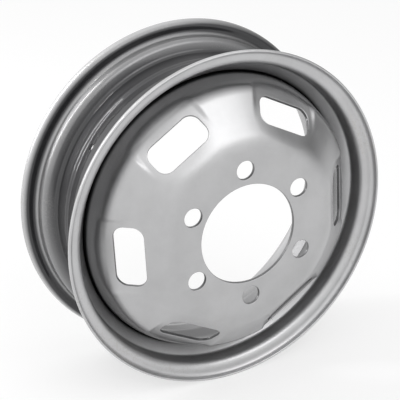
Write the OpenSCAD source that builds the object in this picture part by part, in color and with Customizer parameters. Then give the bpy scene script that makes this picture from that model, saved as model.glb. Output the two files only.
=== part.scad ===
// Steel wheel rim of a light commercial vehicle: a pressed disc welded into the well of a rolled hoop.
// The wheel turns about Y, its outer face looks toward -Y and Z is up. The origin is the middle of the
// face that seats on the hub, and the shapes below are drawn with their own z pointing out of the wheel.

/* [Hoop] */
// Diameter of the bead seats where they meet the flanges, mm
bead_seat_d = 405.6; // [390:0.1:420]
// Width between the two flange walls, mm
rim_width = 127; // [115:0.5:150]
// Sheet thickness of the hoop, mm
rim_sheet = 3; // [2:0.1:4]
// Height of the flanges above the bead seats, mm
flange_height = 17.2; // [15:0.1:20]
// Outer radius of the curled flange lip, mm
curl_r = 9; // [7:0.1:11]
// Angle from straight ahead at which the curled lip stops, degrees
curl_stop = 75; // [60:1:90]
// Radius in the corner between bead seat and flange, mm
bead_corner_r = 6.5; // [5:0.1:7.5]
// Taper of the bead seats, degrees
bead_taper = 5; // [3:0.5:8]
// Width of the outer bead seat, mm
front_seat_w = 21; // [17:0.5:25]
// Width of the inner bead seat, mm
rear_seat_w = 18; // [15:0.5:20]
// Radius over the shoulder between a bead seat and the well, mm
shoulder_r = 8; // [5:0.5:9]
// Radius of the bottom of the well on the tyre side, mm
well_r = 185; // [180:0.1:190]
// Distance from the middle of the hoop back to the rear corner of the well, mm
well_back = 40.5; // [37:0.5:42]
// Length along the axis of the steep front side of the well, mm
well_run = 12; // [9:0.5:20]
// Radius in the corners of the well, mm
well_corner_r = 6; // [4:0.5:9]

/* [Valve hole] */
// Diameter of the valve hole, mm
valve_d = 8.8; // [7:0.1:16]
// Angle of the valve hole seen from the front, degrees
valve_angle = 146; // [0:1:360]
// Distance from the rear edge of the disc's skirt back to the valve hole, mm
valve_back = 10; // [8:0.5:25]

/* [Disc] */
// Distance from the hub face back to the middle of the hoop, mm
offset_et = 109; // [100:0.5:115]
// Sheet thickness of the disc at the hub, mm
disc_sheet = 5; // [4:0.1:8]
// Sheet thickness of the disc in its flank and skirt, mm
skirt_sheet = 4.5; // [3.5:0.1:6]
// Diameter of the centre bore, mm
bore_d = 130; // [100:0.1:150]
// Radius of the corner between flat face and flank, mm
face_r = 118; // [112:0.5:124]
// Radius over the shoulder of the flat face, mm
face_shoulder_r = 45; // [20:0.5:55]
// Distance of the corner between flank and skirt inside the skirt, mm
flank_in = 7.9; // [4:0.1:12]
// Depth of that corner below the front of the flat face, mm
flank_drop = 43; // [38:0.5:47]
// Radius over the corner between flank and skirt, mm
flank_corner_r = 26; // [12:0.5:32]
// Depth below the flat face at which the skirt turns straight, mm
skirt_drop = 79; // [72:0.5:86]
// Radius where the skirt turns straight, mm
skirt_corner_r = 45; // [20:1:60]
// Length of the skirt in the well behind the foot of its front side, mm
skirt_lap = 22; // [15:0.5:30]
// Clearance between the skirt and the well around it, mm
skirt_fit = 0.1; // [0.05:0.05:0.3]

/* [Bolt holes] */
// Number of bolt holes, and of vent windows between them
holes = 6; // [5:1:8]
// Bolt circle diameter, mm
pcd = 170; // [160:0.5:180]
// Diameter of a bolt hole, mm
bolt_d = 24; // [16:0.1:28]
// Angle of the first bolt hole seen from the front, degrees
clocking = 33.4; // [0:0.1:60]

/* [Vent windows] */
// Depth of the middle of a window below the flank, mm
pad_depth = 4.8; // [3:0.1:7]
// Distance of the middle of a window down the flank from the flank's own middle, mm
pad_shift = 5.2; // [2:0.1:8]
// Angle by which the flat pad around a window is steeper than the flank, degrees
pad_lean = 4.3; // [2:0.1:7]
// Length of a window around the wheel, mm
window_l = 78; // [60:0.5:84]
// Height of a window, mm
window_h = 38.6; // [30:0.2:44]
// Corner radius of a window, mm
window_r = 14; // [6:0.5:15]
// Width of the flat pad beside a window, mm
pad_rim = 8; // [5:0.5:10]

/* [Weld] */
// Number of weld runs behind the skirt
welds = 8; // [4:1:12]
// Length of one weld run around the wheel, degrees
weld_arc = 24; // [10:1:28]
// Leg of the weld bead, mm
weld_leg = 4; // [2:0.1:4.5]
// Clearance of the drawn bead from the sheets it joins, mm
weld_fit = 0.05; // [0.02:0.01:0.2]

/* [Hidden] */

round_fn = 96;
arc_n = 5;
hole_fn = 48;
eps = 0.5;

bead_r = bead_seat_d / 2;
half_w = rim_width / 2;
curl_cr = bead_r + flange_height - curl_r;
curl_cz = half_w + curl_r;
mid_z = -offset_et;
front_shoulder = [bead_r - front_seat_w * tan(bead_taper), half_w - front_seat_w];
rear_shoulder = [bead_r - rear_seat_w * tan(bead_taper), rear_seat_w - half_w];
well_rear = -well_back;
well_front = front_shoulder[1] - well_run;
well_inner_r = well_r - rim_sheet;
// The skirt slides in from the front, so it passes the narrowest place of the hoop
skirt_room_r = min(well_r, front_shoulder[0]) - rim_sheet;
skirt_r = skirt_room_r - skirt_fit;
skirt_end = mid_z + well_front - skirt_lap;
face_z = disc_sheet;
face_edge = [face_r, face_z];
flank_edge = [skirt_r - flank_in, face_z - flank_drop];
flank_run = unit(flank_edge - face_edge);
pad_mid = (face_edge + flank_edge) / 2 + flank_run * pad_shift - left(flank_run) * pad_depth;
pad_tilt = pad_lean - atan2(flank_run[1], flank_run[0]);
pad_top = norm(flank_edge - face_edge) / 2 + pad_shift;

// Steps of plane geometry for the sheet outlines
function unit(v) = v / norm(v);
function left(v) = [-v[1], v[0]];
function turn(a, b, c) = sign(cross(b - a, c - b));
function wrap(d) = d > 180 ? d - 360 : d < -180 ? d + 360 : d;

// Corner of two neighbouring segments after each has moved to its left by its own distance
function moved(a, b, c, s, t) =
  let (m = left(unit(b - a)), n = left(unit(c - b)))
  let (k = cross(m, n), p = m * b + s, q = n * b + t)
  [(p * n[1] - q * m[1]) / k, (m[0] * q - n[0] * p) / k];

// The whole line after each of its segments has moved to its left by the distance listed for it
function beside(p, t) =
  let (e = len(p) - 1)
  [for (i = [0:e])
    i == 0 ? p[0] + left(unit(p[1] - p[0])) * t[0]
    : i == e ? p[e] + left(unit(p[e] - p[e - 1])) * t[e - 1]
    : moved(p[i - 1], p[i], p[i + 1], t[i - 1], t[i])];

// Corner radii of that moved line, so that both faces of the sheet bend about one centre
function beside_r(p, r, t) =
  [for (i = [0:len(p) - 1])
    r[i] == 0 ? 0 : r[i] - turn(p[i - 1], p[i], p[i + 1]) * (t[i - 1] + t[i]) / 2];

// One corner as an arc
function corner(a, b, c, r) =
  let (u = unit(a - b), v = unit(c - b))
  let (h = acos(u * v) / 2, m = b + unit(u + v) * r / sin(h))
  let (s = b + u * r / tan(h) - m, e = b + v * r / tan(h) - m)
  let (g = atan2(s[1], s[0]), w = wrap(atan2(e[1], e[0]) - g))
  [for (k = [0:arc_n]) m + r * [cos(g + w * k / arc_n), sin(g + w * k / arc_n)]];

function rounded(p, r) =
  [for (i = [0:len(p) - 1]) each r[i] == 0 ? [p[i]] : corner(p[i - 1], p[i], p[i + 1], r[i])];

function back(p) = [for (i = [len(p) - 1:-1:0]) p[i]];

// Curled flange lip, from its free edge to the flange wall, on the front (1) or the rear (-1)
function curl(side, r) =
  [for (k = [0:2 * arc_n])
    let (g = curl_stop + (180 - curl_stop) * k / (2 * arc_n))
    [curl_cr + r * sin(g), side * (curl_cz + r * cos(g))]];

// Tyre side of the hoop between the flange walls, as [radius, distance from the middle]
hoop_line = [
  [curl_cr, -half_w],
  [bead_r, -half_w],
  rear_shoulder,
  [well_r, well_rear],
  [well_r, well_front],
  front_shoulder,
  [bead_r, half_w],
  [curl_cr, half_w],
];
hoop_bend = [0, bead_corner_r, shoulder_r, well_corner_r, well_corner_r, shoulder_r, bead_corner_r, 0];
hoop_t = [for (i = [0:len(hoop_line) - 2]) rim_sheet];

// Outer side of the disc from bore to skirt edge, as [radius, z]
disc_line = [
  [bore_d / 2 - eps, face_z],
  face_edge,
  flank_edge,
  [skirt_r, face_z - skirt_drop],
  [skirt_r, skirt_end],
];
disc_bend = [0, face_shoulder_r, flank_corner_r, skirt_corner_r, 0];
disc_t = [-disc_sheet, -skirt_sheet, -skirt_sheet, -skirt_sheet];

// Stands a shape drawn with z out of the wheel into the frame of the wheel
module stand() {
  rotate([90, 0, 0])
    children();
}

// Repeats a shape at each bolt hole, or half a step on at each vent window
module around(half = 0) {
  for (i = [0:holes - 1])
    rotate([0, 0, clocking + (i + half) * 360 / holes])
      children();
}

// Frame of one vent pad: x runs down the flank, y runs around the wheel, z out of the pad
module on_pad() {
  translate([pad_mid[0], 0, pad_mid[1]])
    rotate([0, pad_tilt, 0])
      children();
}

module slot(h, l, r) {
  for (x = [r - h / 2, h / 2 - r])
    for (y = [r - l / 2, l / 2 - r])
      translate([x, y])
        circle(r = r, $fn = hole_fn);
  square([h - 2 * r, l], center = true);
  square([h, l - 2 * r], center = true);
}

// Room above a flat pad, which runs from the edge of the face out over the skirt
module pad_room(grow, down) {
  wide = window_l + 2 * (pad_rim + grow);
  on_pad()
    translate([-pad_top - grow, -wide / 2, -down])
      cube([pad_top + grow + skirt_drop, wide, skirt_drop]);
}

module hoop() {
  rotate_extrude($fn = round_fn)
    polygon(concat(
      curl(-1, curl_r),
      rounded(hoop_line, hoop_bend),
      back(curl(1, curl_r)),
      curl(1, curl_r - rim_sheet),
      back(rounded(beside(hoop_line, hoop_t), beside_r(hoop_line, hoop_bend, hoop_t))),
      back(curl(-1, curl_r - rim_sheet))
    ));
}

module valve_cut() {
  rotate([0, 0, valve_angle])
    translate([well_r, 0, skirt_end - mid_z - valve_back])
      rotate([0, 90, 0])
        cylinder(d = valve_d, h = 8 * rim_sheet, center = true, $fn = hole_fn);
}

module rim() {
  color([0.72, 0.73, 0.75])
    stand()
      translate([0, 0, mid_z])
        difference() {
          hoop();
          valve_cut();
        }
}

// Solid from the axis out to one face of the disc
module under(line, bend, low) {
  rotate_extrude($fn = round_fn)
    polygon(concat(
      [[0, low], [0, line[0][1]]],
      rounded(line, bend),
      [[line[len(line) - 1][0], low]]
    ));
}

module disc() {
  color([0.75, 0.76, 0.78])
    stand()
      difference() {
        under(disc_line, disc_bend, skirt_end);
        around(0.5)
          pad_room(0, 0);
        difference() {
          under(beside(disc_line, disc_t), beside_r(disc_line, disc_bend, disc_t), skirt_end - 1);
          around(0.5)
            pad_room(skirt_sheet, skirt_sheet);
        }
        translate([0, 0, -eps])
          cylinder(d = bore_d, h = disc_sheet + 2 * eps, $fn = round_fn);
        around()
          translate([pcd / 2, 0, -eps])
            cylinder(d = bolt_d, h = disc_sheet + 2 * eps, $fn = hole_fn);
        around(0.5)
          on_pad()
            translate([0, 0, -3 * skirt_sheet])
              linear_extrude(6 * skirt_sheet)
                slot(window_h, window_l, window_r);
      }
}

module fillet_welds() {
  out = well_inner_r - weld_fit;
  in = skirt_room_r - weld_fit - weld_leg;
  top = skirt_end - weld_fit;
  color([0.45, 0.45, 0.46])
    stand()
      for (i = [0:welds - 1])
        rotate([0, 0, valve_angle + (i + 0.5) * 360 / welds - weld_arc / 2])
          rotate_extrude(angle = weld_arc, $fn = round_fn)
            polygon([[out, top], [in, top], [out, top - weld_leg]]);
}

rim();
disc();
fillet_welds();
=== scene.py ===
import math
import bmesh
import bpy
import numpy as np
from mathutils import Matrix, Vector


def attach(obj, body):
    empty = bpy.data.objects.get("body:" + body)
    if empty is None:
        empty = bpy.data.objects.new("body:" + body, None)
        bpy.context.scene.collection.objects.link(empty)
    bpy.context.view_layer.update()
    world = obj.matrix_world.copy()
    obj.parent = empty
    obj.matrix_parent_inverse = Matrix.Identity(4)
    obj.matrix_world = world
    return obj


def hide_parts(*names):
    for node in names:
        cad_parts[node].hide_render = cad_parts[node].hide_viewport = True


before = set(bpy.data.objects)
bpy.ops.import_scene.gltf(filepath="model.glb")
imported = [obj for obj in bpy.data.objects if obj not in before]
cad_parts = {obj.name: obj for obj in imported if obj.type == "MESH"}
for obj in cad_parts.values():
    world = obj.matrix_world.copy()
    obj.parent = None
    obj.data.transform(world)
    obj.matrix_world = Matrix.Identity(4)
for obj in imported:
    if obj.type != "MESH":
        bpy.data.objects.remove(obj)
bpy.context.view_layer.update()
print("frame loaded:", sorted(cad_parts))

scene = bpy.context.scene
scene.view_settings.view_transform = "Standard"
mmPerM = 1000  # the pieces are worked out in mm, the frame is in metres


def toLinear(hexCode):
    parts = [int(hexCode[i:i + 2], 16) / 255 for i in (1, 3, 5)]
    return [c / 12.92 if c <= 0.04045 else ((c + 0.055) / 1.055) ** 2.4 for c in parts] + [1.0]


def addNode(tree, kind, settings=None, links=None):
    node = tree.nodes.new(kind)
    for name, value in (settings or {}).items():
        if isinstance(name, str) and hasattr(node, name):
            setattr(node, name, value)
        else:
            node.inputs[name].default_value = value
    for name, source in (links or {}).items():
        tree.links.new(source, node.inputs[name])
    return node


def towards(azimuth, elevation):
    a, e = math.radians(azimuth), math.radians(elevation)
    return Vector((math.sin(a) * math.cos(e), -math.cos(a) * math.cos(e), math.sin(e)))


# camera, from the ellipses of the flanges, bore and bolt circle
cameraSet = {"azimuth": -28.985, "elevation": 24.083, "distance": 1.85, "target": (0, 0.1077, 0),
             "lens": 130.334, "shift": (-0.0089, 0.0024)}

target = Vector(cameraSet["target"])
backward = towards(cameraSet["azimuth"], cameraSet["elevation"])
right = towards(cameraSet["azimuth"] + 90, 0)
camData = bpy.data.cameras.new("camera")
camData.lens = cameraSet["lens"]
camData.shift_x, camData.shift_y = cameraSet["shift"]
camera = bpy.data.objects.new("camera", camData)
scene.collection.objects.link(camera)
place = Matrix((right, backward.cross(right), backward)).transposed().to_4x4()
place.translation = target + backward * cameraSet["distance"]
camera.matrix_world = place
scene.camera = camera
print("camera set")


# sheet outlines: points in mm, as (radius, distance out of the wheel from the hub face)
def unit(v):
    return v / np.linalg.norm(v)


def cornerArc(a, b, c, radius, steps):
    u, v = unit(a - b), unit(c - b)
    half = math.acos(np.clip(u @ v, -1, 1)) / 2
    mid = b + unit(u + v) * radius / math.sin(half)
    start = b + u * radius / math.tan(half) - mid
    end = b + v * radius / math.tan(half) - mid
    first = math.atan2(start[1], start[0])
    sweep = (math.atan2(end[1], end[0]) - first + math.pi) % (2 * math.pi) - math.pi
    g = first + sweep * np.arange(steps + 1) / steps
    return list(mid + radius * np.stack([np.cos(g), np.sin(g)], 1))


def roundedLine(points, radii, steps):
    out = []
    for i, r in enumerate(radii):
        out += [points[i]] if r <= 0 else cornerArc(points[i - 1], points[i], points[i + 1], r, steps)
    return np.array(out)


def besideLine(points, radii, shifts):
    # the other face of the sheet: each segment moved to its left, bends about the same centres
    left = [unit(np.array((a[1] - b[1], b[0] - a[0]))) for a, b in zip(points, points[1:])]
    moved, bends = [points[0] + left[0] * shifts[0]], [0]
    for i in range(1, len(points) - 1):
        rows = np.array((left[i - 1], left[i]))
        moved.append(np.linalg.solve(rows, rows @ points[i] + (shifts[i - 1], shifts[i])))
        turn = np.sign(left[i - 1][0] * left[i][1] - left[i - 1][1] * left[i][0])
        bends.append(radii[i] - turn * (shifts[i - 1] + shifts[i]) / 2)
    return moved + [points[-1] + left[-1] * shifts[-1]], bends + [0]


def runAlong(points):
    return np.concatenate([[0], np.cumsum(np.hypot(*np.diff(points, axis=0).T))])


def toWorld(r, z, angle):
    return np.stack([r * np.cos(angle), -z + 0 * angle, r * np.sin(angle)], -1) / mmPerM


def gridFaces(rows, cols, start=0):
    # quads of a grid whose columns close into a ring
    i, j = np.arange(rows - 1)[:, None], np.arange(cols)
    k = (j + 1) % cols
    quads = np.stack([i * cols + j, i * cols + k, (i + 1) * cols + k, (i + 1) * cols + j], -1)
    return quads.reshape(-1, 4) + start


def setPrimerAndShade(mesh, values):
    # how far each point is darkened toward the primer colour, 0 not at all and 1 fully: a dark primer under
    # thin paint on the tyre side, and painted shade in recesses, creases and gaps
    primerAndShade = mesh.attributes.new("primerAndShade", "FLOAT", "POINT")
    primerAndShade.data.foreach_set("value", np.asarray(values, np.float32))


def meshObject(name, verts, faces, weld=2e-6, primerAndShade=None):
    mesh = bpy.data.meshes.new(name)
    mesh.from_pydata([tuple(v) for v in verts], [], [tuple(int(i) for i in f) for f in faces])
    if primerAndShade is not None:
        setPrimerAndShade(mesh, primerAndShade)
    bm = bmesh.new()
    bm.from_mesh(mesh)
    bmesh.ops.remove_doubles(bm, verts=bm.verts, dist=weld)
    bmesh.ops.recalc_face_normals(bm, faces=bm.faces)
    bm.to_mesh(mesh)
    bm.free()
    mesh.shade_smooth()
    obj = bpy.data.objects.new(name, mesh)
    scene.collection.objects.link(obj)
    return obj


# rolled hoop
rimSet = {"beadD": 405.6, "width": 127, "sheet": 3, "offset": 109,
          "flangeHeight": 17.2, "curlR": 9, "curlStop": 75, "beadCorner": 6.5,
          "taper": 5, "frontSeat": 21, "rearSeat": 18, "shoulderR": 8,
          "wellR": 185, "wellBack": 40.5, "wellRun": 12, "wellCorner": 6,
          "grooveZ": (-16, -11.5, 3.5), "groove": 1.8, "grooveBend": (12, 9.5, 40),
          "valveD": 8.8, "valveAngle": 146, "valveZ": -110.5, "valveSides": 48, "valveCut": 20,
          "around": 288, "bendSteps": 10, "curlSteps": 28, "capSteps": 8, "sharpAngle": 50,
          # tyre side: dark primer under thin silver, and painted shade on the flange wall and in the well
          "tyreShadeR": (187, 201, 203, 205.5, 215, 219), "tyrePrimerShade": (0.97, 0.5, 0.2, 1, 1, 0),
          # painted shade inside the barrel behind the disc
          "barrelShadeZ": (-158, -142, -128, -102, -98), "barrelShade": (0.05, 0.2, 0.5, 0.55, 0),
          # painted shade in the crease where the disc meets the rim
          "jointShadeR": (182.6, 185), "jointShadeZ": -90}


def rimProfile(s):
    bead, half, tilt = s["beadD"] / 2, s["width"] / 2, math.tan(math.radians(s["taper"]))
    curlCentre = np.array((bead + s["flangeHeight"] - s["curlR"], half + s["curlR"]))
    front = (bead - s["frontSeat"] * tilt, half - s["frontSeat"])
    rear = (bead - s["rearSeat"] * tilt, s["rearSeat"] - half)
    wellRear, wellFront = (s["wellR"], -s["wellBack"]), (s["wellR"], front[1] - s["wellRun"])
    # the rolling tools leave a shallow line in the floor of the well
    tracks = [(s["wellR"] - d, z) for z, d in zip(s["grooveZ"], (0, s["groove"], 0))]
    corners = ((curlCentre[0], -half), (bead, -half), rear, wellRear, *tracks,
               wellFront, front, (bead, half), (curlCentre[0], half))
    line = [np.array(p, float) for p in corners]
    sides = [s["beadCorner"], s["shoulderR"], s["wellCorner"]]
    bend = [0, *sides, *s["grooveBend"], *sides[::-1], 0]
    inner, innerBend = besideLine(line, bend, [s["sheet"]] * (len(line) - 1))

    stop = math.radians(s["curlStop"]) + s["sheet"] / 2 / s["curlR"]
    insideR, halfSheet = s["curlR"] - s["sheet"], s["sheet"] / 2

    def curl(side, r):
        g = np.linspace(stop, math.pi, s["curlSteps"] + 1)
        return np.stack([curlCentre[0] + r * np.sin(g), side * (curlCentre[1] + r * np.cos(g))], 1)

    def cap(side):  # rounded free edge of the lip, from tyre side to outside
        out = np.array((math.sin(stop), math.cos(stop)))
        on = np.array((-math.cos(stop), math.sin(stop)))
        q = np.linspace(0, math.pi, s["capSteps"] + 1)[1:-1, None]
        edge = curlCentre + out * (s["curlR"] - halfSheet) + halfSheet * (np.cos(q) * out + np.sin(q) * on)
        return edge * (1, side)

    tyreSide = [curl(-1, s["curlR"]), roundedLine(line, bend, s["bendSteps"])[1:-1],
                curl(1, s["curlR"])[::-1]]
    inside = [curl(1, insideR), roundedLine(inner, innerBend, s["bendSteps"])[::-1][1:-1],
              curl(-1, insideR)[::-1]]
    profile = np.concatenate([*tyreSide, cap(1), *inside, cap(-1)[::-1]])
    return profile - (0, s["offset"]), sum(len(k) for k in tyreSide)


def cutValveHole(rim, s):
    turn, radius = math.radians(s["valveAngle"]), s["valveD"] / 2 / mmPerM
    at = Vector(toWorld(s["wellR"], s["valveZ"], np.array(turn)))
    out = Vector((math.cos(turn), 0, math.sin(turn)))
    cutMesh = bpy.data.meshes.new("valve_cut")
    bm = bmesh.new()
    bmesh.ops.create_cone(bm, cap_ends=True, segments=s["valveSides"], radius1=radius, radius2=radius,
                          depth=s["valveCut"] / mmPerM)
    bm.to_mesh(cutMesh)
    bm.free()
    cutter = bpy.data.objects.new("valve_cut", cutMesh)
    cutter.matrix_world = Matrix.Translation(at) @ out.to_track_quat("Z", "Y").to_matrix().to_4x4()
    scene.collection.objects.link(cutter)
    hole = rim.modifiers.new("valve hole", "BOOLEAN")
    hole.operation, hole.solver, hole.object = "DIFFERENCE", "EXACT", cutter
    bpy.context.view_layer.update()
    graph = bpy.context.evaluated_depsgraph_get()
    mesh = bpy.data.meshes.new_from_object(rim.evaluated_get(graph))
    rim.modifiers.clear()
    rim.data = mesh
    bpy.data.objects.remove(cutter)


def rimShading(mesh, profile, tyreSide, s):
    co = np.empty(3 * len(mesh.vertices))
    mesh.vertices.foreach_get("co", co)
    co = co.reshape(-1, 3) * mmPerM
    r, z = np.hypot(co[:, 0], co[:, 2]), -co[:, 1]
    nearest = np.array([np.argmin(((profile - q) ** 2).sum(1)) for q in np.stack([r, z], 1)])
    # the tyre side between the lips is darkened toward the primer colour: partly a dark primer under thin
    # silver paint, partly painted shade on the flange wall and in the well
    tyreMask = np.interp(r, s["tyreShadeR"], s["tyrePrimerShade"])
    barrelMask = np.interp(z, s["barrelShadeZ"], s["barrelShade"])  # painted shade inside the barrel, darker toward the back of the disc
    jointMask = np.interp(r, s["jointShadeR"], (1, 0)) * (z > s["jointShadeZ"])  # painted shade in the crease where the disc meets the rim
    return np.where(nearest < tyreSide, tyreMask, np.maximum(barrelMask, jointMask))


def buildRim(s):
    profile, tyreSide = rimProfile(s)
    n, around = len(profile), s["around"]
    angle = np.arange(around) * 2 * math.pi / around
    verts = toWorld(profile[:, :1], profile[:, 1:], angle[None, :]).reshape(-1, 3)
    rim = meshObject("rolled_rim", verts, gridFaces(n + 1, around) % (n * around))
    cutValveHole(rim, s)
    rim.data.shade_smooth()
    rim.data.set_sharp_from_angle(angle=math.radians(s["sharpAngle"]))
    setPrimerAndShade(rim.data, rimShading(rim.data, profile, tyreSide, s))
    return rim


rimPiece = buildRim(rimSet)
print("rim built:", len(rimPiece.data.polygons), "faces")


# pressed disc: a dome of revolution with flat pads pressed in around the windows
discSet = {"sheet": 5, "skirtSheet": 4.5, "boreD": 130, "faceR": 118, "faceShoulder": 45,
           "flankR": 174, "flankDrop": 43, "flankCorner": 26,
           "skirtR": 181.9, "skirtDrop": 79, "skirtCorner": 45, "skirtEnd": -100.5, "skirtEdge": (0.24, 0.8),
           "holes": 6, "pcd": 170, "boltD": 24, "clocking": 33.4, "edge": 0.9,
           "windowL": 78, "windowH": 38.6, "windowR": 14,
           "padShift": 5.2, "padDepth": 4.8, "padLean": 6, "padRim": 8, "padIn": 20, "padCorner": 30,
           "padStep": 9, "padStepOut": 1, "padBlendAt": (2, 12), "padBlend": (2.5, 8),
           # painted shade: darker down the skirt in the gap beside the rim
           "gapShadeZ": (-34, -56, -68, -73), "gapShade": (0, 0.55, 0.55, 1),
           # painted shade on the back of the disc, darker deeper in the barrel
           "rearShadeZ": (-20, -70), "rearShade": (0.15, 0.8),
           # painted shade on the walls of the holes
           "wallShade": (0.1, 0.3, 0.7, 0.7, 0.7, 0.7, 0.3, 0.1),
           "faceEnd": 101.5, "patchEnd": -68, "patchMargin": 1, "skirtMargin": 2,
           "arcSteps": 40, "sideSteps": 36, "legSteps": 12, "skirtSteps": 5, "bendSteps": 16, "edgeSteps": 4,
           "cornerPoints": 41, "rings": 34, "rearRings": 16, "ringSpread": 1.35,
           "faceSpread": (0, 0.02, 0.06, 0.13, 0.25, 0.4, 0.6, 0.8, 1),
           "reach": 90, "halvings": 50, "weld": 4e-6}


def smoother(d):
    return d * d * d * (d * (6 * d - 15) + 10)


def shadeAt(z, heights, primerAndShade):
    return np.interp(-np.asarray(z), -np.array(heights), primerAndShade)


def onPad(pad, u, v, h):
    # along, up and out of the plane of a pad, whose normal is (outR, outZ)
    baseR, baseZ, outR, outZ = pad
    return np.stack([baseR + outZ * v + outR * h, u, baseZ - outR * v + outZ * h], -1)


def edgeRings(s):
    # (outward from the hole, down from the face) along a rounded edge, from face to wall
    q = np.linspace(0, math.pi / 2, s["edgeSteps"] + 1)[1:]
    return [(s["edge"] * (1 - math.sin(a)), s["edge"] * (1 - math.cos(a))) for a in q]


def windowOutline(s):
    # points and outward normals, split at the middle of the corners
    halfL, halfH, r, n = s["windowL"] / 2, s["windowH"] / 2, s["windowR"], s["cornerPoints"]
    loop = []
    for k, (u, v) in enumerate(((1, -1), (1, 1), (-1, 1), (-1, -1))):
        t = np.radians(np.linspace(-90, 0, n) + 90 * k)
        way = np.stack([np.cos(t), np.sin(t)], 1)
        loop.append(np.hstack([way * r + (u * (halfL - r), v * (halfH - r)), way]))
    loop = np.roll(np.concatenate(loop), -(3 * n + n // 2), 0)  # starts in the inner corner at -u
    loop = np.concatenate([loop, loop[:1]])
    arc = runAlong(loop[:, :2])
    marks = [*arc[[0, n, 2 * n, 3 * n]], arc[-1]]
    counts = (s["arcSteps"], s["sideSteps"]) * 2
    at = np.concatenate([np.linspace(a, b, k, endpoint=False) for a, b, k in zip(marks, marks[1:], counts)])
    hole = np.stack([np.interp(at, arc, column) for column in loop.T], 1)
    hole[:, 2:] /= np.hypot(hole[:, 2], hole[:, 3])[:, None]
    return hole


def sectorBorder(s, profile, faceZ, endR):
    # radius, height and angle along the face circle, one side, the skirt circle and the other side
    half = math.pi / s["holes"]
    between = (profile[:, 0] > s["faceEnd"]) & (profile[:, 1] > s["patchEnd"])
    cut = np.concatenate([[(s["faceEnd"], faceZ)], profile[between], [(endR, s["patchEnd"])]])
    run = runAlong(cut)
    sweep = np.linspace(-half, half, s["arcSteps"], endpoint=False)

    def circle(r, z, angle):
        return np.stack([0 * angle + r, 0 * angle + z, angle], 1)

    def side(start, end, angle):
        at = np.linspace(start, end, s["sideSteps"], endpoint=False)
        return np.stack([np.interp(at, run, cut[:, 0]), np.interp(at, run, cut[:, 1]), 0 * at + angle], 1)

    return np.concatenate([circle(s["faceEnd"], faceZ, sweep), side(0, run[-1], half),
                           circle(endR, s["patchEnd"], -sweep), side(run[-1], 0, -half)])


def discPatch(s, line, bend, faceZ, sink, grow, rings):
    # one sector around a window, as heights over the plane of its pad
    profile = roundedLine(line, bend, s["bendSteps"])
    rising = profile[::-1]
    rising = rising[np.concatenate([[True], np.diff(rising[:, 1]) > 1e-6])]
    top = np.array((s["faceR"], s["sheet"]))
    low = np.array((s["flankR"], s["sheet"] - s["flankDrop"]))
    run = unit(low - top)
    tilt = math.atan2(-run[1], run[0]) + math.radians(s["padLean"])
    out = np.array((math.sin(tilt), math.cos(tilt)))
    inward = np.array((run[1], -run[0]))
    base = (top + low) / 2 + s["padShift"] * run + s["padDepth"] * inward - sink * out
    pad = (*base, *out)

    def domeR(z):
        return np.interp(z, rising[:, 1], rising[:, 0])

    def lift(u, v):
        # height of the dome over the pad, by halving
        lo, hi = np.full_like(u, -s["reach"]), np.full_like(u, s["reach"])
        for _ in range(s["halvings"]):
            mid = (lo + hi) / 2
            x, y, z = np.moveaxis(onPad(pad, u, v, mid), -1, 0)
            inside = (z < faceZ) & (np.hypot(x, y) < domeR(z))
            lo, hi = np.where(inside, mid, lo), np.where(inside, hi, mid)
        return lo

    def pressed(u, v):
        h, edgeV, c = lift(u, v), s["windowH"] / 2, s["padCorner"] + grow
        k = np.interp(v, edgeV + np.array(s["padBlendAt"]), s["padBlend"])
        over = np.maximum(h, 0) + np.maximum(k - np.abs(h), 0) ** 2 / (4 * k)  # blended over k mm
        qx = np.maximum(np.abs(u) - (s["windowL"] / 2 + s["padRim"] + grow) + c, 0)
        qy = np.maximum(-v - (edgeV + s["padIn"] + grow) + c, 0)
        d = np.clip((np.hypot(qx, qy) - c - s["padStepOut"]) / s["padStep"] + 0.5, 0, 1)
        return onPad(pad, u, v, h - over * (1 - smoother(d)))

    endR = domeR(s["patchEnd"])
    r, z, angle = sectorBorder(s, profile, faceZ, endR).T
    ends = np.stack([r * np.cos(angle), r * np.sin(angle), z], 1)
    border = np.stack([ends[:, 1], out[1] * (ends[:, 0] - base[0]) - out[0] * (z - base[1])], 1)
    hole = windowOutline(s)
    first = hole[:, :2] + hole[:, 2:] * s["edge"]
    t = (np.arange(rings + 1) / rings) ** s["ringSpread"]
    flat = first + (border - first) * t[:, None, None]
    points = pressed(flat[..., 0], flat[..., 1])
    points[-1] = ends
    return points, hole, pad, endR


def windowSector(s, outer, inner):
    thick = s["skirtSheet"]
    front, hole, pad, frontEnd = discPatch(s, *outer, s["sheet"], 0, 0, s["rings"])
    rear, _, rearPad, rearEnd = discPatch(s, *inner, 0, thick, thick / 2, s["rearRings"])
    wall = [onPad(pad, *(hole[:, :2] + hole[:, 2:] * w).T, -d) for w, d in edgeRings(s)]
    wall += [onPad(rearPad, *(hole[:, :2] + hole[:, 2:] * w).T, d) for w, d in edgeRings(s)[::-1]]
    # painted shade: darker in the gap beside the rim, on the walls of the holes and on the back of the disc
    gapShading = shadeAt(front[::-1, :, 2], s["gapShadeZ"], s["gapShade"])
    wallShading = np.array(s["wallShade"])[:, None] + 0 * gapShading[:1]
    rearShading = shadeAt(rear[..., 2], s["rearShadeZ"], s["rearShade"])
    points = np.concatenate([front[::-1], np.array(wall), rear])
    return points, np.concatenate([gapShading, wallShading, rearShading]), frontEnd, rearEnd


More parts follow.
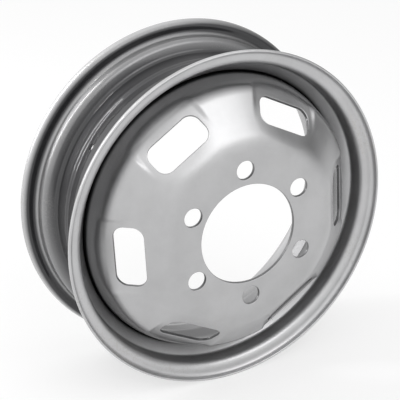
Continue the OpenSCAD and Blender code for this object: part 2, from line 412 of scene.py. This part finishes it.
def boltSector(s):
    # flat face around one bolt hole, with its rounded edges
    half, n, legs = math.pi / s["holes"], s["arcSteps"], s["legSteps"]
    inR, outR, boltR = s["boreD"] / 2 + s["edge"], s["faceEnd"], s["boltD"] / 2
    sweep = np.linspace(-half, half, n, endpoint=False)
    inward = np.linspace(outR, inR, legs, endpoint=False)
    outward = np.linspace(inR, outR, legs, endpoint=False)
    r = np.concatenate([0 * sweep + outR, inward, 0 * sweep + inR, outward])
    angle = np.concatenate([sweep, 0 * inward + half, -sweep, 0 * outward - half])
    border = np.stack([r * np.cos(angle), r * np.sin(angle)], 1)
    quarters = zip((-45, 45, 135, 225), (n, legs, n, legs))
    turn = np.radians(np.concatenate([np.linspace(a, a + 90, k, endpoint=False) for a, k in quarters]))
    ray = np.stack([np.cos(turn), np.sin(turn)], 1)

    def ring(t, z, start=boltR + s["edge"]):
        p = (ray * start + (s["pcd"] / 2, 0)) * (1 - t) + border * t
        return np.concatenate([p, np.full((len(p), 1), z)], 1)

    spread = s["faceSpread"]
    rows = [ring(t, s["sheet"]) for t in spread[::-1]]
    rows += [ring(0, s["sheet"] - d, boltR + w) for w, d in edgeRings(s)]
    rows += [ring(0, d, boltR + w) for w, d in edgeRings(s)[::-1]]
    rows += [ring(t, 0) for t in spread]
    # painted shade on the walls of the bolt holes and on the back of the face
    primerAndShade = [0] * len(spread) + [*s["wallShade"]] + [s["rearShade"][0]] * len(spread)
    return np.array(rows), np.array(primerAndShade)[:, None]


def skirtChain(s, outer, inner, frontEnd, rearEnd):
    outR, inR, end, (dip, lip) = s["skirtR"], s["skirtR"] - s["skirtSheet"], s["skirtEnd"], s["skirtEdge"]

    def bent(line, bend):  # what is left of the bend below the patches
        points = roundedLine(line, bend, s["bendSteps"])
        low, high = end + s["skirtMargin"], s["patchEnd"] - s["patchMargin"]
        return [tuple(p) for p in points if low < p[1] < high]

    steps = s["skirtSteps"] + 1
    outside = [(frontEnd, s["patchEnd"])] + bent(*outer)
    outside += [(outR, z) for z in np.linspace(outside[-1][1], end + lip, steps)[1:]]
    outside += [(outR - dip, end + dip), (outR - lip, end)]
    inside = [(rearEnd, s["patchEnd"])] + bent(*inner)
    inside += [(inR, z) for z in np.linspace(inside[-1][1], end + lip, steps)[1:]]
    inside += [(inR + dip, end + dip), (inR + lip, end)]
    # painted shade down the outside of the skirt beside the rim, and on its inside
    footShading = shadeAt([z for _, z in outside], s["gapShadeZ"], s["gapShade"])
    return outside + inside[::-1], [*footShading] + [s["rearShade"][1]] * len(inside)


def boreChain(s):
    r, e = s["boreD"] / 2, s["edge"]
    chain = [(r + e, s["sheet"])] + [(r + w, s["sheet"] - d) for w, d in edgeRings(s)]
    chain += [(r + w, d) for w, d in edgeRings(s)[::-1]] + [(r + e, 0)]
    # painted shade on the wall of the bore and on the back of the disc
    return chain, [0, *s["wallShade"], s["rearShade"][0]]


def buildDisc(s):
    corners = ((s["boreD"] / 2, s["sheet"]), (s["faceR"], s["sheet"]),
               (s["flankR"], s["sheet"] - s["flankDrop"]),
               (s["skirtR"], s["sheet"] - s["skirtDrop"]), (s["skirtR"], s["skirtEnd"]))
    line = [np.array(p, float) for p in corners]
    bend = [0, s["faceShoulder"], s["flankCorner"], s["skirtCorner"], 0]
    outer = (line, bend)
    inner = besideLine(line, bend, [-s["sheet"]] + [-s["skirtSheet"]] * 3)
    windows, windowShade, frontEnd, rearEnd = windowSector(s, outer, inner)
    bolts, boltShade = boltSector(s)
    verts, faces, primerAndShade = [], [], []

    def addGrid(points, values):
        faces.append(gridFaces(*points.shape[:2], sum(len(v) for v in verts)))
        verts.append(points.reshape(-1, 3))
        primerAndShade.append(np.broadcast_to(values, points.shape[:2]).ravel())

    clocking = math.radians(s["clocking"])
    for k in range(s["holes"]):
        for block, values, at in ((windows, windowShade, k + 0.5), (bolts, boltShade, k)):
            g = clocking + at * 2 * math.pi / s["holes"]
            x, y, z = np.moveaxis(block, -1, 0)
            turned = (x * math.cos(g) - y * math.sin(g), -z, x * math.sin(g) + y * math.cos(g))
            addGrid(np.stack(turned, -1) / mmPerM, values)

    # straight skirt and bore edge, turned about the axis
    total = s["arcSteps"] * s["holes"]
    angle = clocking + (np.arange(total) - s["arcSteps"] / 2) * 2 * math.pi / total
    for chain, values in (skirtChain(s, outer, inner, frontEnd, rearEnd), boreChain(s)):
        p = np.array(chain)
        addGrid(toWorld(p[:, :1], p[:, 1:], angle[None, :]), np.array(values)[:, None])
    return meshObject("pressed_disc", np.concatenate(verts), np.concatenate(faces), s["weld"],
                      np.concatenate(primerAndShade))


discPiece = buildDisc(discSet)
print("disc built:", len(discPiece.data.polygons), "faces")


# silver paint, sprayed over a dark primer: fine aluminium flake gives a soft broad glow, the clear film
# over it a sharper, weaker reflection, and the skin of the paint a slight orange peel; the primer colour
# also stands for painted shade in recesses, creases and gaps; a little dust lies on it as matt pale
# specks, and a weld bead keeps the ripples of its pool
paintSet = {
    "rim": {"name": "silver paint on rolled steel",
            "dark": "#c0c0c1", "light": "#cacacb", "primerShadeColour": "#3b3b3d",
            "metal": 0.97, "rough": (0.4, 0.46), "coat": 0.9, "coatRough": 0.06, "mottleMm": 45,
            "peelMm": 2.4, "peel": 0.03, "dust": 0.4, "dustMm": 2.2},
    "disc": {"name": "silver paint on pressed steel",
             "dark": "#bababb", "light": "#c4c4c5", "primerShadeColour": "#454546",
             "metal": 0.97, "rough": (0.36, 0.41), "coat": 0.5, "coatRough": 0.1, "mottleMm": 60,
             "peelMm": 3.0, "peel": 0.03, "dust": 0.15, "dustMm": 2.6},
    "welds": {"name": "silver paint over weld bead",
              "dark": "#989899", "light": "#bdbdbe", "primerShadeColour": None,
              "metal": 0.9, "rough": (0.4, 0.5), "coat": 0.3, "coatRough": 0.15, "mottleMm": 9,
              "peelMm": 1.2, "peel": 0.06, "dust": 0.3, "dustMm": 2.0,
              "rippleMm": 2.5, "rippleR": 180, "rippleDepthMm": 0.4, "ripple": 0.35},
}
# the same for all three: spans are the part of a noise that is used
filmSet = {"toneSpan": (0.35, 0.65), "roughSpan": (0.3, 0.7), "peelDepthMm": 1,
           "dustShade": "#b5b3af", "driftMm": 83.3, "dustSpan": (0.33, 0.4), "dustMatt": 0.6}


def silverPaint(s, film):
    mat = bpy.data.materials.new(s["name"])
    mat.use_nodes = True
    tree = mat.node_tree
    paint = tree.nodes["Principled BSDF"]
    at = addNode(tree, "ShaderNodeTexCoord").outputs["Object"]
    mottle = addNode(tree, "ShaderNodeTexNoise",
                     {"Scale": mmPerM / s["mottleMm"], "Detail": 5, "Roughness": 0.6},
                     {"Vector": at}).outputs["Fac"]
    tone = addNode(tree, "ShaderNodeValToRGB", None, {"Fac": mottle})
    for stop, position, hexCode in zip(tone.color_ramp.elements, film["toneSpan"], (s["dark"], s["light"])):
        stop.position = position
        stop.color = toLinear(hexCode)
    low, high = film["roughSpan"]
    rough = addNode(tree, "ShaderNodeMapRange", {"From Min": low, "From Max": high, "To Min": s["rough"][0],
                                                 "To Max": s["rough"][1]}, {"Value": mottle})
    colour = tone.outputs["Color"]
    # the paint is darkened toward the primer colour: dark primer on the tyre side, painted shade in
    # recesses, creases and gaps
    primerAndShade = addNode(tree, "ShaderNodeAttribute", {"attribute_name": "primerAndShade"}).outputs["Fac"]
    if s["primerShadeColour"]:
        blend = addNode(tree, "ShaderNodeMix", {"data_type": "RGBA", "B": toLinear(s["primerShadeColour"])},
                        {"Factor": primerAndShade, "A": colour})
        colour = blend.outputs["Result"]

    # specks of dust are finer than this in life; drawn coarser so that a picture shows them
    grain = addNode(tree, "ShaderNodeTexNoise", {"Scale": mmPerM / s["dustMm"], "Detail": 1}, {"Vector": at})
    drift = addNode(tree, "ShaderNodeTexNoise", {"Scale": mmPerM / film["driftMm"], "Detail": 3},
                    {"Vector": at})
    sparse = addNode(tree, "ShaderNodeMath", {"operation": "MULTIPLY"},
                     {0: grain.outputs["Fac"], 1: drift.outputs["Fac"]})
    full = addNode(tree, "ShaderNodeMath", {"operation": "SUBTRACT", 0: 1.0}, {1: primerAndShade})
    most = addNode(tree, "ShaderNodeMath", {"operation": "MULTIPLY", 1: s["dust"]}, {0: full.outputs[0]})
    low, high = film["dustSpan"]
    dust = addNode(tree, "ShaderNodeMapRange", {"From Min": low, "From Max": high},
                   {"Value": sparse.outputs[0], "To Max": most.outputs[0]}).outputs["Result"]
    dusty = addNode(tree, "ShaderNodeMix", {"data_type": "RGBA", "B": toLinear(film["dustShade"])},
                    {"Factor": dust, "A": colour})
    metal = addNode(tree, "ShaderNodeMath",
                    {"operation": "MULTIPLY_ADD", 1: -film["dustMatt"], 2: s["metal"]}, {0: dust})

    height = addNode(tree, "ShaderNodeTexNoise", {"Scale": mmPerM / s["peelMm"], "Detail": 2},
                     {"Vector": at})
    skin = addNode(tree, "ShaderNodeBump", {"Strength": s["peel"], "Distance": film["peelDepthMm"] / mmPerM},
                   {"Height": height.outputs["Fac"]}).outputs["Normal"]
    if "ripple" in s:
        # waves counted along the bead, at its radius
        waves = s["rippleR"] * 2 * math.pi / s["rippleMm"]
        axes = addNode(tree, "ShaderNodeSeparateXYZ", None, {"Vector": at})
        turn = addNode(tree, "ShaderNodeMath", {"operation": "ARCTAN2"},
                       {0: axes.outputs["Z"], 1: axes.outputs["X"]})
        along = addNode(tree, "ShaderNodeMath", {"operation": "MULTIPLY", 1: waves}, {0: turn.outputs[0]})
        wave = addNode(tree, "ShaderNodeMath", {"operation": "SINE"}, {0: along.outputs[0]})
        skin = addNode(tree, "ShaderNodeBump",
                       {"Strength": s["ripple"], "Distance": s["rippleDepthMm"] / mmPerM},
                       {"Height": wave.outputs[0], "Normal": skin}).outputs["Normal"]
    for name, source in (("Base Color", dusty.outputs["Result"]), ("Roughness", rough.outputs["Result"]),
                         ("Metallic", metal.outputs[0]), ("Normal", skin), ("Coat Normal", skin)):
        tree.links.new(source, paint.inputs[name])
    paint.inputs["Coat Weight"].default_value = s["coat"]
    paint.inputs["Coat Roughness"].default_value = s["coatRough"]
    return mat


for obj, kind in ((rimPiece, "rim"), (discPiece, "disc"), (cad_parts["fillet_welds"], "welds")):
    obj.data.materials.clear()
    obj.data.materials.append(silverPaint(paintSet[kind], filmSet))
for piece, node, slot in ((rimPiece, "rim", "rim_paint"), (discPiece, "disc", "disc_paint")):
    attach(piece, "root")
    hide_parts(node)
print("paint set")


# studio: pale floor, white surroundings that darken toward one side of the room, softboxes
floorSet = {"z": -0.2203, "radius": 6, "sides": 64, "shade": "#aaaaaa", "glow": 0.62, "mirrorGlow": 0.52}
roomSet = {"azimuth": 97, "elevation": 0, "dark": 0.15, "from": 0.45, "to": 0.98, "diffuse": 0.75}
boxSet = {"main": {"azimuth": 20, "elevation": 43, "distance": 2.2, "size": (1.35, 1.15), "power": 6.8},
          "left": {"azimuth": -12, "elevation": 46, "distance": 2.4, "size": (0.7, 0.8), "power": 2.4},
          "back": {"azimuth": -128, "elevation": 32, "distance": 2.0, "size": (0.085, 1.9), "power": 15}}


def eyeLevel(tree, eye, mirror, other):
    # one level for what the eye sees directly, one for what mirrors and glass show, one for plain light
    ray = addNode(tree, "ShaderNodeLightPath")
    shown = addNode(tree, "ShaderNodeMath", {"operation": "MAXIMUM"},
                    {0: ray.outputs["Is Glossy Ray"], 1: ray.outputs["Is Transmission Ray"]})
    level = addNode(tree, "ShaderNodeMix", {"data_type": "FLOAT", "A": other}, {"Factor": shown.outputs[0]})
    if isinstance(mirror, float):
        level.inputs["B"].default_value = mirror
    else:
        tree.links.new(mirror, level.inputs["B"])
    seen = addNode(tree, "ShaderNodeMix", {"data_type": "FLOAT", "B": eye},
                   {"Factor": ray.outputs["Is Camera Ray"], "A": level.outputs["Result"]})
    return seen.outputs["Result"]


def buildFloor(s):
    # matt sheet; for what the eye or a mirror sees it glows up to white and still takes the shadow
    g = np.linspace(0, 2 * math.pi, s["sides"], endpoint=False)
    ring = np.stack([np.cos(g) * s["radius"], np.sin(g) * s["radius"], 0 * g + s["z"]], 1)
    sheet = meshObject("floor", ring, [range(s["sides"])])
    mat = bpy.data.materials.new("floor")
    mat.use_nodes = True
    tree = mat.node_tree
    tree.nodes.remove(tree.nodes["Principled BSDF"])
    matt = addNode(tree, "ShaderNodeBsdfDiffuse", {"Color": toLinear(s["shade"])})
    level = eyeLevel(tree, s["glow"], s["mirrorGlow"], 0)
    shine = addNode(tree, "ShaderNodeEmission", None, {"Strength": level})
    top = addNode(tree, "ShaderNodeAddShader", None, {0: matt.outputs["BSDF"], 1: shine.outputs["Emission"]})
    tree.links.new(top.outputs["Shader"], tree.nodes["Material Output"].inputs["Surface"])
    sheet.data.materials.append(mat)


def hangBox(name, s):
    lamp = bpy.data.lights.new("softbox_" + name, "AREA")
    lamp.shape = "RECTANGLE"
    lamp.size, lamp.size_y = s["size"]
    lamp.energy = s["power"]
    box = bpy.data.objects.new("softbox_" + name, lamp)
    way = towards(s["azimuth"], s["elevation"])
    box.location = target + way * s["distance"]
    box.rotation_euler = way.to_track_quat("Z", "Y").to_euler()
    scene.collection.objects.link(box)


def lightRoom(s):
    world = bpy.data.worlds.new("world")
    world.use_nodes = True
    tree = world.node_tree
    way = addNode(tree, "ShaderNodeTexCoord").outputs["Generated"]
    facing = addNode(tree, "ShaderNodeVectorMath",
                     {"operation": "DOT_PRODUCT", 1: towards(s["azimuth"], s["elevation"])}, {0: way})
    room = addNode(tree, "ShaderNodeMapRange",
                   {"interpolation_type": "SMOOTHSTEP", "From Min": s["from"], "From Max": s["to"],
                    "To Min": 1.0, "To Max": s["dark"]}, {"Value": facing.outputs["Value"]})
    sky = tree.nodes["Background"]
    sky.inputs["Color"].default_value = (1, 1, 1, 1)
    tree.links.new(eyeLevel(tree, 1.0, room.outputs["Result"], s["diffuse"]), sky.inputs["Strength"])
    scene.world = world


buildFloor(floorSet)
for boxName, boxValues in boxSet.items():
    hangBox(boxName, boxValues)
lightRoom(roomSet)
print("studio set")
